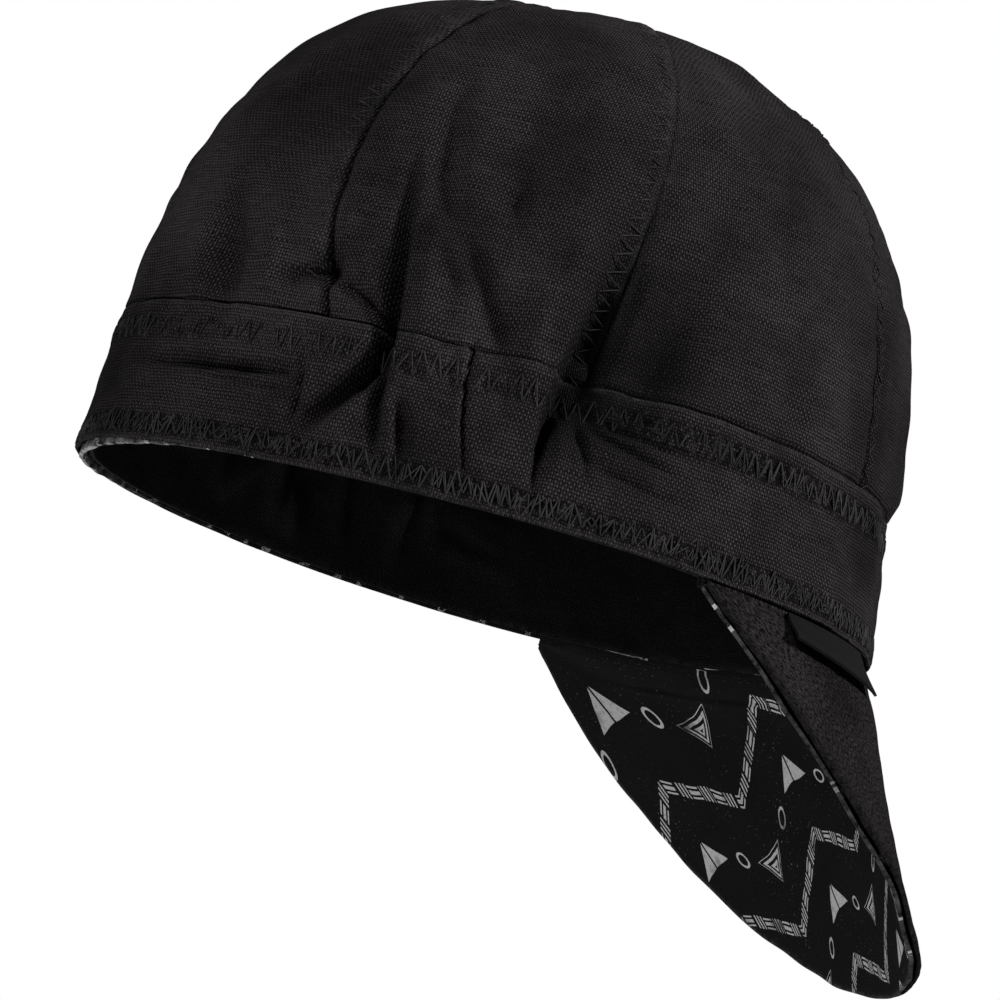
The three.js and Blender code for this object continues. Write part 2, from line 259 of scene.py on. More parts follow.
def nearestOnPath(x, y, path):
    # distance to a path, positive on its left side, and the depth at the nearest place on it
    nearest, depth = np.full(np.shape(x + y), 1e9), 0
    for (startX, startY, startDepth), (endX, endY, endDepth) in zip(path[:-1], path[1:]):
        runX, runY = endX - startX, endY - startY
        length = math.hypot(runX, runY)
        share = np.clip(((x - startX) * runX + (y - startY) * runY) / length ** 2, 0, 1)
        offX, offY = x - startX - share * runX, y - startY - share * runY
        distance = np.hypot(offX, offY) * np.where(runX * offY - runY * offX < 0, -1, 1)
        closer = np.abs(distance) < np.abs(nearest)
        nearest = np.where(closer, distance, nearest)
        depth = np.where(closer, lerp(startDepth, endDepth, share), depth)
    return nearest, depth


def foldProfile(share, sharp, shading):
    # one in the middle of a fold: a wall ends in a clean edge, a soft side fades away; for the
    # painted shade a wall is dark to its edge
    if not sharp:
        return bell(share, 0, 1)
    if shading:
        return 1 - smoothstep(share, 0.6, 1.2)
    return np.cos(np.pi / 2 * np.minimum(share, 1)) ** 1.2


def foldDepths(name, angle, rise, shading=False, leastWidth=0):
    # how deep one fold lies, on both sides of the cap
    total = np.zeros(np.shape(angle + rise))
    widths, *path = folds[name]
    right, left = [max(width, leastWidth) for width in widths]
    middle = path[len(path) // 2]
    scale = degreeLength(np.float64(middle[0]), np.float64(middle[1]))
    path = [((corner[0] - middle[0]) * scale, corner[1], corner[2]) for corner in path]
    for side, share in ((1, 1), (-1, cap["farSideShare"])):
        away = fromFront(angle * side - middle[0])
        if np.abs(away).min() > cap["foldReach"]:
            continue
        distance, depth = nearestOnPath(away * scale, rise, path)
        profile = np.where(
            distance < 0,
            foldProfile(-distance / right, sharpSides.get(name) == "right", shading),
            foldProfile(np.abs(distance) / left, sharpSides.get(name) == "left", shading),
        )
        total = total + share * depth * profile
    return total


# the folds that go inwards
hollows = [
    name for name, (widths, *path) in folds.items() if max(depth for *place, depth in path) > 0
]


def foldOffset(angle, rise, fineToo=True):
    # how deep the cloth lies in its folds; the layers inside follow them more broadly, and only
    # inwards, so that the cloth outside never reaches through them
    offset = -cap["rearSwell"] * rearShare(angle) ** 2 * (1 - smoothstep(rise, 32, 55))
    for name in folds if fineToo else hollows:
        leastWidth = 0 if fineToo else cap["innerFoldWidth"]
        offset = offset + foldDepths(name, angle, rise, leastWidth=leastWidth)
    return offset


def paintedCreaseShade(angle, rise):
    # painted shade down in the cloth's folds, from 0 to 1: narrow folds get darker shade
    steepness = np.zeros(np.shape(angle + rise))
    for name in hollows:
        shade = foldPaintedShades.get(name, 1) / (2 + min(folds[name][0]))
        steepness = steepness + shade * foldDepths(name, angle, rise, True)
    return 1 - np.exp(-cap["paintedCreaseShade"] * steepness)


# Patches of lighter cloth, or of darker cloth where the amount is below zero: partly fading from
# wear, partly painted light and painted shade where the folds and lamps fall short: angle and rise
# of the middle, reach in millimetres and amount
fadingAndPaintedLightPatches = [
    (-140, 50, 20, 0.5), (-166, 64, 15, 0.35), (-131, 42, 9, 0.4), (-166, 12, 14, -0.7),
    (-174, 27, 13, -0.55), (-150, 86, 16, -0.25), (-100, 51, 9, 0.6), (-105, 38, 8, 0.45),
    (-112, 8, 12, -0.45), (-83, 8, 12, -0.4), (-91, 25, 11, -1.15), (-84, 28, 10, -1.0),
    (-85, 61, 10, -0.85), (-81, 44, 9, -1.0), (-92, 45, 9, -0.45), (-92, 73, 6, -0.4),
    (-76, 41, 7, -0.45), (-38, 43, 11, -0.5), (-22, 53, 13, -0.6), (-34, 22, 10, -0.5),
    (-36, 76, 13, -0.3), (-157, 54, 7, 0.2), (-54, 106, 20, -0.4), (-72, 123, 8, 0.35),
    (-62, 74, 15, 0.25), (-55, 63, 14, 0.2), (-66, 14, 10, 0.4), (-61, 28, 9, 0.25),
    (-111, 94, 12, 0.15), (-98, 92, 9, -0.2), (-141, 30, 7, 0.35), (-128, 104, 11, 0.2),
    (-130, 28, 8, 0.3), (-125, 72, 8, -0.4), (-123, 84, 9, -0.35), (-109, 55, 7, -0.35),
    (-121, 38, 6, 0.4),
]


def fadingAndPaintedLightFactor(angle, rise):
    # how much lighter the cloth is, as a factor: partly fading, partly painted light and painted
    # shade
    amount = np.zeros(np.shape(angle + rise))
    for middle, height, reach, strength in fadingAndPaintedLightPatches:
        scale = degreeLength(np.float64(middle), np.float64(height))
        for side in (1, -1):
            away = fromFront(angle * side - middle) * scale
            amount = amount + strength * np.exp(-(away ** 2 + (rise - height) ** 2) / reach ** 2)
    return np.exp(amount)


def threadPaintedShade(angle, rise):
    # painted shade on the threads, down in the folds and in the darker patches
    return 1 - (1 - paintedCreaseShade(angle, rise)) * np.minimum(fadingAndPaintedLightFactor(angle, rise), 1)


# Shader helpers

def shaderNode(tree, kind, inputs=None, **settings):
    made = tree.nodes.new(kind)
    for name, value in settings.items():
        setattr(made, name, value)
    for socket, value in (inputs or {}).items():
        if isinstance(value, bpy.types.NodeSocket):
            tree.links.new(value, made.inputs[socket])
        else:
            made.inputs[socket].default_value = value
    return made


def calculate(tree, operation, *values):
    made = shaderNode(tree, "ShaderNodeMath", dict(enumerate(values)), operation=operation)
    return made.outputs[0]


def product(tree, first, *others):
    for value in others:
        first = calculate(tree, "MULTIPLY", first, value)
    return first


def blendColours(tree, share, first, second):
    made = shaderNode(tree, "ShaderNodeMix", {0: share, 6: first, 7: second}, data_type="RGBA")
    return made.outputs[2]


def mixed(tree, share, first, second):
    return shaderNode(tree, "ShaderNodeMix", {0: share, 2: first, 3: second}).outputs[0]


def noiseValue(tree, vector, scale, detail=2.0, roughness=0.5):
    inputs = {"Vector": vector, "Scale": scale, "Detail": detail, "Roughness": roughness}
    return shaderNode(tree, "ShaderNodeTexNoise", inputs).outputs[0]


def rescaled(tree, value, low, high, toLow=0.0, toHigh=1.0):
    inputs = {0: value, 1: low, 2: high, 3: toLow, 4: toHigh}
    return shaderNode(tree, "ShaderNodeMapRange", inputs, clamp=True).outputs[0]


def stretched(tree, vector, scale):
    inputs = {"Vector": vector, "Scale": scale}
    return shaderNode(tree, "ShaderNodeMapping", inputs).outputs[0]


def separated(tree, vector):
    return shaderNode(tree, "ShaderNodeSeparateXYZ", {0: vector}).outputs[:2]


def attributeValue(tree, name):
    return shaderNode(tree, "ShaderNodeAttribute", attribute_name=name).outputs["Fac"]


def shortNames(tree):
    # the helpers that are used most, each bound to one tree
    return [partial(helper, tree) for helper in (calculate, product, noiseValue, rescaled)]


def newGroup(name, inputs, outputs):
    # a shader node group: an input is a number, or a vector where no number is given
    group = bpy.data.node_groups.new(name, "ShaderNodeTree")
    for socket, value in inputs.items():
        kind = "NodeSocketVector" if value is None else "NodeSocketFloat"
        made = group.interface.new_socket(name=socket, in_out="INPUT", socket_type=kind)
        if value is not None:
            made.default_value = value
    for socket in outputs:
        group.interface.new_socket(name=socket, in_out="OUTPUT", socket_type="NodeSocketFloat")
    return group, group.nodes.new("NodeGroupInput").outputs[:len(inputs)]


def putOut(group, *values):
    # what the group gives, in the order of its outputs
    shaderNode(group, "NodeGroupOutput", dict(enumerate(values)))
    return group


def weaveGroup():
    # plain weave on a piece's own UV map: threads that pass over and under each other, each a
    # little thicker or thinner than the next
    look = {
        "wobblePerMetre": 90.0,
        "wobble": 0.0016,
        "warpThickness": 0.6,
        "weftThickness": 0.24,
        "over": 1.7,  # how high a thread stands where it lies on top
        "under": 0.3,  # and how high all along it
        "smoothing": 0.08,
        "fuzzPerMetre": 1300.0,
    }
    inputs = {
        "Vector": None,
        "Warp Per Metre": 1667.0,
        "Weft Per Metre": 935.0,
        "Unevenness": 0.5,
        "Fuzz": 0.0,
    }
    group, given = newGroup("plainWeave", inputs, ["Height", "Thread Shade"])
    vector, warpPerMetre, weftPerMetre, unevenness, fuzziness = given
    do, times, noise, rescale = shortNames(group)
    wobble = times(do("SUBTRACT", noise(vector, look["wobblePerMetre"], 3.0), 0.5), look["wobble"])
    x, y = separated(group, vector)
    warpCount = times(do("ADD", x, wobble), warpPerMetre)
    weftCount = times(do("SUBTRACT", y, wobble), weftPerMetre)
    warp, weft = [do("SINE", times(count, math.pi)) for count in (warpCount, weftCount)]
    crossing = times(warp, weft)
    threads = shaderNode(group, "ShaderNodeCombineXYZ", {0: warpCount, 1: weftCount}).outputs[0]

    def threadHeight(wave, onTop, scale, thickness):
        # how high the threads of one direction stand
        body = noise(stretched(group, threads, scale), 1.0, 2.0)
        thick = do("MULTIPLY_ADD", do("SUBTRACT", body, 0.5), unevenness, thickness)
        under = times(do("ABSOLUTE", wave), look["under"])
        return times(do("MULTIPLY_ADD", do("MAXIMUM", onTop, 0.0), look["over"], under), thick)

    overWarp = threadHeight(warp, crossing, (0.9, 0.07, 1), look["warpThickness"])
    overWeft = threadHeight(weft, times(crossing, -1.0), (0.07, 0.9, 1), look["weftThickness"])
    woven = do("SMOOTH_MAX", overWarp, overWeft, look["smoothing"])
    fuzz = rescale(noise(vector, look["fuzzPerMetre"], 3.0, 0.7), 0.35, 0.65)
    height = mixed(group, fuzziness, woven, fuzz)
    fibre = noise(threads, 0.9, 4.0, 0.75)
    return putOut(group, height, times(height, rescale(fibre, 0.3, 0.7, 0.45, 1.45)))


def dustGroup():
    # lint, faint fading in soft patches, and lighter worn edges, from Object coordinates
    perMetre = {"specks": 1500.0, "lintyPlaces": 60.0, "fading": 34.0, "rubbing": 420.0}
    outputs = ["Lint", "Fading", "Worn Edge"]
    group, (vector, edge) = newGroup("lintAndWear", {"Vector": None, "Edge": 0.0}, outputs)
    times, noise, rescale = shortNames(group)[1:]
    specks = rescale(noise(vector, perMetre["specks"], 2.0, 0.6), 0.66, 0.74)
    where = rescale(noise(vector, perMetre["lintyPlaces"], 2.0), 0.4, 0.7)
    fading = rescale(noise(vector, perMetre["fading"], 4.0, 0.6), 0.34, 0.66)
    rubbed = rescale(noise(vector, perMetre["rubbing"], 3.0, 0.65), 0.35, 0.65)
    return putOut(group, times(specks, where), fading, times(edge, rubbed))


plainWeave = weaveGroup()
lintAndWear = dustGroup()


def startMaterial(name, look):
    made = bpy.data.materials.new(name)
    made.use_nodes = True
    tree = made.node_tree
    shader = tree.nodes["Principled BSDF"]
    shader.inputs["Roughness"].default_value = look["roughness"]
    shader.inputs["Specular IOR Level"].default_value = look["specular"]
    coordinates = tree.nodes.new("ShaderNodeTexCoord").outputs
    return made, tree, shader, coordinates["UV"], coordinates["Object"]


def setSurface(tree, shader, colour, height, look):
    # the relief is in millimetres
    inputs = {"Height": height, "Strength": look["bump"], "Distance": look["relief"] * mm}
    bump = shaderNode(tree, "ShaderNodeBump", inputs)
    tree.links.new(colour, shader.inputs["Base Color"])
    tree.links.new(bump.outputs["Normal"], shader.inputs["Normal"])


def grey(level, warmth=1.0):
    return (level * warmth, level, level * (1 + (warmth - 1) * 0.4), 1)


def wovenCloth(tree, uv, look):
    inputs = {
        "Vector": uv,
        "Warp Per Metre": look["warpPerMetre"],
        "Weft Per Metre": look["weftPerMetre"],
        "Unevenness": look["unevenness"],
        "Fuzz": look["fuzz"],
    }
    return shaderNode(tree, "ShaderNodeGroup", inputs, node_tree=plainWeave).outputs


def wearMasks(tree, place):
    inputs = {"Vector": place, "Edge": attributeValue(tree, "wear")}
    return shaderNode(tree, "ShaderNodeGroup", inputs, node_tree=lintAndWear).outputs


def soiled(tree, cloth, masks, look, worn, lint):
    # worn edges and lint over the cloth's own colour
    rubbed = blendColours(tree, product(tree, masks["Worn Edge"], look["edgeWear"]), cloth, worn)
    return blendColours(tree, product(tree, masks["Lint"], look["lint"]), rubbed, lint)


def canvasMaterial(name, look):
    made, tree, shader, uv, place = startMaterial(name, look)
    do, times, noise, rescale = shortNames(tree)
    weave, masks = wovenCloth(tree, uv, look), wearMasks(tree, place)
    shade = rescale(weave["Thread Shade"], look["gapShade"], look["topShade"])
    patches = do("MULTIPLY_ADD", masks["Fading"], look["fading"], 1 - look["fading"] / 2)
    # painted shade: the crease attribute darkens the cloth down in its folds and seams and along
    # the bill's turned edge
    kept = do("MULTIPLY_ADD", attributeValue(tree, "crease"), -look["creasePaintedShade"], 1.0)
    # painted shade: small dark spots between the threads of dense stitching, where needle holes
    # hold shade
    holes = rescale(noise(place, look["holesPerMetre"], 2.0), 0.42, 0.52)
    holes = times(attributeValue(tree, "stitched"), holes)
    pricked = do("MULTIPLY_ADD", holes, -look["holePaintedShade"], 1.0)
    # fading, with painted light and painted shade in patches, from a vertex attribute
    lit = times(shade, patches, times(kept, pricked, attributeValue(tree, "fadingAndPaintedLight")))
    cloth = blendColours(tree, lit, grey(look["dark"] * 0.5, 1.12), grey(look["light"], 1.14))
    colour = soiled(tree, cloth, masks, look, grey(look["worn"], 1.02), grey(look["lintShade"]))
    rough = rescale(weave["Height"], 0.0, 1.0, look["gapRoughness"], look["roughness"])
    tree.links.new(rough, shader.inputs["Roughness"])
    setSurface(tree, shader, colour, weave["Height"], look)
    return made


canvasLook = {
    "warpPerMetre": 1640.0,
    "weftPerMetre": 1220.0,
    "unevenness": 0.8,
    "fuzz": 0.06,
    "gapShade": 0.08,
    "topShade": 0.95,
    "dark": 0.007,
    "light": 0.08,
    "fading": 0.85,
    "creasePaintedShade": 0.92,
    "holesPerMetre": 800.0,
    "holePaintedShade": 0.85,
    "worn": 0.085,
    "edgeWear": 0.55,
    "lint": 0.7,
    "lintShade": 0.16,
    "roughness": 0.8,
    "gapRoughness": 0.96,
    "specular": 0.05,
    "bump": 1.0,
    "relief": 0.32,
}
canvas = canvasMaterial("blackCanvas", canvasLook)
billCanvas = canvasMaterial("blackBillCanvas", {
    **canvasLook, "fuzz": 0.85, "lint": 1.0, "light": 0.046, "dark": 0.004, "gapShade": 0.2,
    "topShade": 0.85, "edgeWear": 0.2, "relief": 0.5,
})
sweatCloth = canvasMaterial("sweatbandTwill", {
    **canvasLook, "warpPerMetre": 2600.0, "weftPerMetre": 2000.0, "light": 0.027, "dark": 0.004,
    "lint": 0.3, "relief": 0.18, "worn": 0.05,
})


def threadMaterial():
    # twisted sewing thread; the UV map runs round and along each stitch
    look = {
        "dark": 0.008,
        "light": 0.1,
        "turnsPerMetre": 2300.0,
        "patchesPerMetre": 700.0,
        "rubbedPerMetre": 45.0,
        "creasePaintedShade": 0.95,
        "roughness": 0.5,
        "specular": 0.2,
        "bump": 0.5,
        "relief": 0.08,
    }
    made, tree, shader, uv, place = startMaterial("blackThread", look)
    do, times, noise, rescale = shortNames(tree)
    turn, along = separated(tree, uv)
    strand = do("SINE", times(do("MULTIPLY_ADD", along, look["turnsPerMetre"], turn), 2 * math.pi))
    patchy = rescale(noise(place, look["patchesPerMetre"], 3.0), 0.3, 0.7, 0.3, 1.0)
    rubbed = rescale(noise(place, look["rubbedPerMetre"], 3.0, 0.6), 0.4, 0.62, 0.3, 1.0)
    # painted shade: the crease attribute darkens the threads down in the folds and patches
    kept = do("MULTIPLY_ADD", attributeValue(tree, "crease"), -look["creasePaintedShade"], 1.0)
    shade = times(rescale(strand, -1.0, 1.0, 0.35, 1.0), patchy, times(rubbed, kept))
    colour = blendColours(tree, shade, grey(look["dark"]), grey(look["light"], 1.1))
    setSurface(tree, shader, colour, strand, look)
    return made


def printGroup():
    # the lining's print, on the UV map in metres: chevron rows made of short bars, with bent
    # lozenges at their turns and rings between these
    design = {
        "rowPitch": 0.036,
        "chevronPitch": 0.05,
        "chevronDepth": 0.016,
        "rowHalfWidth": 0.0019,
        "barPitch": 0.00115,
        "barShare": 0.45,
        "blockPitch": 0.0078,
        "blockShare": 0.55,
        "blockGap": 0.0006,
        "motifHalfWidth": 0.0072,
        "motifHalfHeight": 0.004,
        "ringRadius": 0.0018,
        "lineHalfWidth": 0.00032,
        "wobble": 0.0022,
    }
    group, (vector,) = newGroup("linerPrint", {"Vector": None}, ["Ink"])
    do, times, noise, rescale = shortNames(group)
    wobble = times(do("SUBTRACT", noise(vector, 90.0, 1.0), 0.5), design["wobble"])
    x, y = separated(group, vector)
    across = do("ADD", x, 1.0)
    # from 0 to 1 and back over one chevron
    turn = do("PINGPONG", do("DIVIDE", across, design["chevronPitch"] / 2), 1.0)
    down = do("ADD", do("ADD", y, 1.0), times(turn, design["chevronDepth"]))
    inRow = do("MODULO", do("ADD", down, wobble), design["rowPitch"])
    fromRow = do("ABSOLUTE", do("SUBTRACT", inRow, design["rowPitch"] * 0.25))
    row = do("LESS_THAN", fromRow, design["rowHalfWidth"])

    def striped(value, name):
        pitch = design[name + "Pitch"]
        return do("LESS_THAN", do("MODULO", value, pitch), pitch * design[name + "Share"])

    # the bars stand across the row for one block and lie along it for the next
    bars = mixed(group, striped(across, "block"), striped(fromRow, "bar"), striped(across, "bar"))
    inBlock = do("MODULO", across, design["blockPitch"] / 2)
    ladder = times(row, bars, do("GREATER_THAN", inBlock, design["blockGap"]))
    # a lozenge at every turn of a chevron: solid with a split, or in two nested lines
    motifX = do("PINGPONG", across, design["chevronPitch"] / 4)
    motifY = do("SUBTRACT", inRow, design["rowPitch"] * 0.75)
    shareX = do("DIVIDE", motifX, design["motifHalfWidth"])
    shareY = do("DIVIDE", do("ABSOLUTE", motifY), design["motifHalfHeight"])
    reach = do("ADD", shareX, shareY)
    split = do("GREATER_THAN", motifX, design["lineHalfWidth"])
    solid = times(do("LESS_THAN", reach, 0.92), split)
    nested = do("COMPARE", do("PINGPONG", reach, 0.4), 0.2, 0.1)
    nested = times(nested, do("LESS_THAN", reach, 0.95))
    lozenge = mixed(group, do("GREATER_THAN", turn, 0.5), solid, nested)
    ringX = do("SUBTRACT", design["chevronPitch"] / 4, motifX)
    ringReach = do("SQRT", do("ADD", do("POWER", ringX, 2.0), do("POWER", motifY, 2.0)))
    ring = do("COMPARE", ringReach, design["ringRadius"], design["lineHalfWidth"])
    ink = do("MAXIMUM", do("MAXIMUM", ladder, lozenge), ring)
    # the ink is thin in places
    thin = rescale(noise(vector, 900.0, 3.0, 0.7), 0.3, 0.5, 0.6, 1.0)
    worn = rescale(noise(vector, 120.0, 2.0), 0.28, 0.42, 0.25, 1.0)
    return putOut(group, times(ink, thin, worn))


linerPrint = printGroup()


def liningMaterial(name, look):
    made, tree, shader, uv, place = startMaterial(name, look)
    weave, masks = wovenCloth(tree, uv, look), wearMasks(tree, place)
    turned = shaderNode(tree, "ShaderNodeMapping", {
        "Vector": uv,
        "Location": look["printPlace"],
        "Rotation": (0, 0, math.radians(look["printTurn"])),
        "Scale": (look["printScale"], look["printScale"], 1),
    }).outputs[0]
    pattern = shaderNode(tree, "ShaderNodeGroup", {"Vector": turned}, node_tree=linerPrint)
    shade = rescaled(tree, weave["Thread Shade"], 0.1, 0.9)
    darkGround, lightGround = grey(look["ground"] * 0.6, 0.99), grey(look["ground"] * 1.5, 0.98)
    ground = blendColours(tree, shade, darkGround, lightGround)
    inked = product(tree, pattern.outputs["Ink"], rescaled(tree, shade, 0.0, 1.0, 0.8, 1.0))
    printed = blendColours(tree, inked, ground, grey(look["ink"], 0.99))
    colour = soiled(tree, printed, masks, look, grey(look["ink"]), grey(look["lintShade"]))
    setSurface(tree, shader, colour, weave["Height"], look)
    return made


def labelMaterial():
    # smooth ribbed tape, left bare; the UV map runs along and across it
    look = {
        "dark": 0.0044,
        "light": 0.011,
        "ribsPerMetre": 3200.0,
        "patchesPerMetre": 300.0,
        "roughness": 0.6,
        "specular": 0.1,
        "bump": 0.3,
        "relief": 0.04,
    }
    made, tree, shader, uv, place = startMaterial("blackTape", look)
    do, times, noise, rescale = shortNames(tree)
    rib = do("SINE", times(separated(tree, uv)[1], look["ribsPerMetre"] * 2 * math.pi))
    patchy = rescale(noise(place, look["patchesPerMetre"], 4.0), 0.3, 0.7, 0.6, 1.0)
    shade = times(rescale(rib, -1.0, 1.0, 0.7, 1.0), patchy)
    colour = blendColours(tree, shade, grey(look["dark"]), grey(look["light"]))
    setSurface(tree, shader, colour, rib, look)
    return made


thread = threadMaterial()
liningLook = {
    "warpPerMetre": 3000.0,
    "weftPerMetre": 2600.0,
    "unevenness": 0.6,
    "fuzz": 0.0,
    "ground": 0.013,
    "ink": 0.9,
    "printPlace": (0.008, 0.004, 0),
    "printTurn": 24.0,
    "printScale": 1.0,
    "edgeWear": 0.12,
    "lint": 0.8,
    "lintShade": 0.3,
    "roughness": 0.75,
    "specular": 0.08,
    "bump": 0.5,
    "relief": 0.12,
}
printedLining = liningMaterial("printedLining", liningLook)
edgeLining = liningMaterial("printedLiningEdge", {
    **liningLook, "printTurn": 62.0, "printScale": 2.4, "edgeWear": 1.0, "ink": 0.7,
})
tape = labelMaterial()
print("materials made")


# Cloth pieces: a grid whose vertices are laid on the cloth's surface, then given its wall

def newGrid(columns, rows):
    bpy.ops.object.select_all(action="DESELECT")
    bpy.ops.mesh.primitive_grid_add(x_subdivisions=columns - 1, y_subdivisions=rows - 1, size=2)
    return bpy.context.object


def joinDoubles(threshold, turnOut=False):
    bpy.ops.object.mode_set(mode="EDIT")
    bpy.ops.mesh.select_all(action="SELECT")
    bpy.ops.mesh.remove_doubles(threshold=threshold)
    if turnOut:
        bpy.ops.mesh.normals_make_consistent(inside=False)
    bpy.ops.object.mode_set(mode="OBJECT")


def setUv(mesh, layer, uv):
    # uv has a place for every vertex
    corners = np.empty(len(mesh.loops), dtype=np.int32)
    mesh.loops.foreach_get("vertex_index", corners)
    layer.data.foreach_set("uv", uv[corners].ravel())


def setAttribute(mesh, name, values):
    attribute = mesh.attributes.new(name, "FLOAT", "POINT")
    attribute.data.foreach_set("value", values.astype(np.float32))


def layCloth(name, shape, wall, uv, wear, material, slot, replaced, crease=0, fadingAndPaintedLight=1, stitched=0):
    rows, columns = shape.shape[:2]
    piece = newGrid(columns, rows)
    piece.name = name
    mesh = piece.data
    flat = np.empty(len(mesh.vertices) * 3)
    mesh.vertices.foreach_get("co", flat)
    flat = flat.reshape(-1, 3)
    column = np.rint((flat[:, 0] + 1) / 2 * (columns - 1)).astype(int)
    row = np.rint((flat[:, 1] + 1) / 2 * (rows - 1)).astype(int)
    mesh.vertices.foreach_set("co", (shape[row, column] * mm).ravel())
    setUv(mesh, mesh.uv_layers.active, uv[row, column] * mm)
    attributes = {"wear": wear, "crease": crease, "fadingAndPaintedLight": fadingAndPaintedLight, "stitched": stitched}
    for attribute, values in attributes.items():
        setAttribute(mesh, attribute, (values + 0 * shape[..., 0])[row, column])
    mesh.update()
    joinDoubles(1e-7)
    solidify = piece.modifiers.new("clothWall", "SOLIDIFY")
    solidify.thickness = wall * mm
    solidify.offset = -1
    bpy.ops.object.modifier_apply(modifier=solidify.name)
    bpy.ops.object.shade_smooth_by_angle(angle=math.radians(50))
    mesh.materials.append(material)
    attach(piece, "root")
    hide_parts(replaced)


# Crown: seams, panels and their stitches

# Each seam has its angles at the crown's foot, halfway up and at its top, the side on which its
# allowance lies and how high that stands, how much of the groove is left higher up, how much
# painted shade lies down its groove, and how wide and how dim its stitches are.
seams = {
    "rear": {
        "angles": (128, 132.5, 127), "side": 1, "strip": 0.32, "upper": 0.8,
        "dark": 0.95, "reach": 1, "dim": 0,
    },
    "side": {
        "angles": (90, 86, 82), "side": 1, "strip": 0.22, "upper": 0.35,
        "dark": 0.6, "reach": 1, "dim": 0,
    },
    "front": {
        "angles": (38.5, 40.0, 37), "side": -1, "strip": 0.14, "upper": 0.3,
        "dark": 0.3, "reach": 0.42, "dim": 0.6,
    },
}
crownLook = {
    "footRise": 30.0,  # hidden behind the band
    "pitch": 1.0,  # between the vertices
    "finePitch": 0.74,  # and in the panels at the sides
    "crowding": 0.08,  # how much closer they lie at the seams
    "groove": 1.1,
    "grooveWidth": 0.85,
    "rollWidth": 3.2,
    "roll": 0.45,
    "stripWidth": 7.0,
    "fullness": 0.35,  # how much a panel swells between its seams
    "rearSag": 1.0,  # the back of the crown hangs in a little
    "slack": 0.68,  # soft unevenness of the cloth
    "puckers": 0.25,  # small gathers at the seams
    "stitchFrom": 1.0,
    "stitchTo": 6.4,
    "stitchPitch": (2.5, 1.6),  # from needle point to needle point, at the foot and at the top
    "stitchShake": 0.15,
    "stitchStop": 13,  # how far from the top the stitches end
    "stitchSpread": 0.42 * math.radians(40),  # near the top they crowd towards the seam
}
panels = [  # name, side and seam at its start, side and seam at its end
    ("crown_panel_front", (-1, "front"), (1, "front")),
    ("crown_panel_side_left", (1, "front"), (1, "side")),
    ("crown_panel_gathered_left", (1, "side"), (1, "rear")),
    ("crown_panel_rear", (1, "rear"), (-1, "rear")),
    ("crown_panel_gathered_right", (-1, "rear"), (-1, "side")),
    ("crown_panel_side_right", (-1, "side"), (-1, "front")),
]


def seamAngle(name, side, rise):
    # a smooth curve through the seam's three angles
    foot, middle, top = seams[name]["angles"]
    share = crownShare(rise)
    foot = foot * (1 - 2 * share) * (1 - share)
    return side * (foot + middle * 4 * share * (1 - share) + top * share * (2 * share - 1))


def evenRises(low, pitch):
    # heights that lie evenly along the crown's outline, up to its very top
    fine = cap["height"] - (cap["height"] - low) * np.linspace(1, 0, 6000) ** 3
    run = runLengths(outerPoint(np.float64(90), fine), 0)
    return np.interp(np.linspace(0, run[-1], int(run[-1] / pitch) + 1), run, fine)


def seamRelief(away, strip, fromTop, depth):
    # cloth dips into the seam; the sewn allowance beside it stands up
    look, fade = crownLook, smoothstep(fromTop, 3, 16)
    groove = -look["groove"] * np.exp(-away / look["grooveWidth"]) * lerp(0.5, 1, fade) * depth
    roll = -look["roll"] * np.exp(-away / look["rollWidth"]) * fade * depth
    edge = look["stripWidth"]
    raised = strip * (1 - smoothstep(away, edge - 1.3, edge + 0.6))
    return groove + roll + raised * fade * smoothstep(away, 0, 0.7)


def crownOut(angle, rise, away, strip, share, uppers):
    # how far the crown's cloth stands out of the plain surface
    look = crownLook
    place = outerPoint(angle, rise)
    fromTop = np.hypot(place[..., 0], place[..., 1] - cap["topShift"])
    calm = smoothstep(fromTop, 2, 25)
    low = 1 - smoothstep(rise, 55, 85)
    depths = [lerp(upper, 1, low) for upper in uppers]
    reliefs = [seamRelief(away[i], strip[i], fromTop, depths[i]) for i in (0, 1)]
    relief = np.where(away[0] < away[1], *reliefs)
    facing = np.cos(np.radians(angle))
    puff = cap["bandHeight"] + lerp(cap["puff"][1], cap["puff"][0], smoothstep(facing, -0.5, 0.6))
    tuck = layer * (1 - smoothstep(rise, cap["bandHeight"] - 0.3, puff))
    slack = look["slack"] * (0.7 * softNoise(place, 30, 3) + 0.45 * softNoise(place, 13, 4))
    pucker = look["puckers"] * softNoise(place, 5.5, 5) * np.exp(-np.minimum(*away) / 7)
    sag = look["rearSag"] * rearShare(angle) * np.sin(np.pi * crownShare(rise)) ** 1.5
    fullness = look["fullness"] * np.sin(np.pi * share) * calm - sag
    bulge = np.where(facing > 0, *cap["bulge"]) * lerp(0.3, 1, facing ** 2) * bell(rise, 45, 12)
    folded = foldOffset(angle, rise)
    return bulge + relief - tuck - folded + (slack + pucker) * calm + fullness


